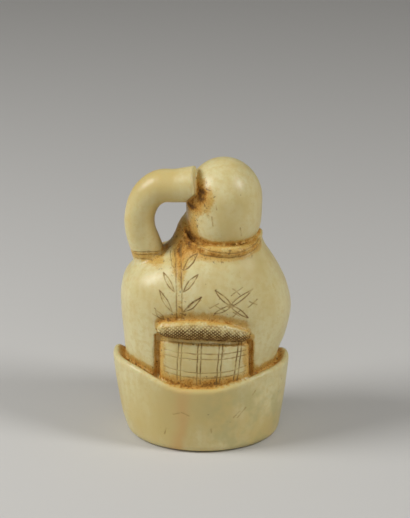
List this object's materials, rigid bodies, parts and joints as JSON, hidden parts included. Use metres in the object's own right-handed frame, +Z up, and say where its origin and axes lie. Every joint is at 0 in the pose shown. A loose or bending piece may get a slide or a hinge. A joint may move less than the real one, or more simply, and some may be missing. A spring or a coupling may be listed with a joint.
{
  "type": "netsuke",
  "caption": "Small carved toggle: a robed figure sits in an oval tub, one arm bent up round its head to make a loop",
  "frame": {"origin": "middle of the tub's flat underside", "axes": "+Z up; the figure faces -Y, its tied sash and the crown of its bald head are towards +Y, and its raised left arm is on +X"},
  "size_m": [0.0294, 0.0243, 0.0475],
  "materials": {
    "ivory": "polished cream ivory with amber to dark brown stain in every recess"
  },
  "bodies": {
    "root": {"netsuke": "ivory"}
  },
  "joints": []
}
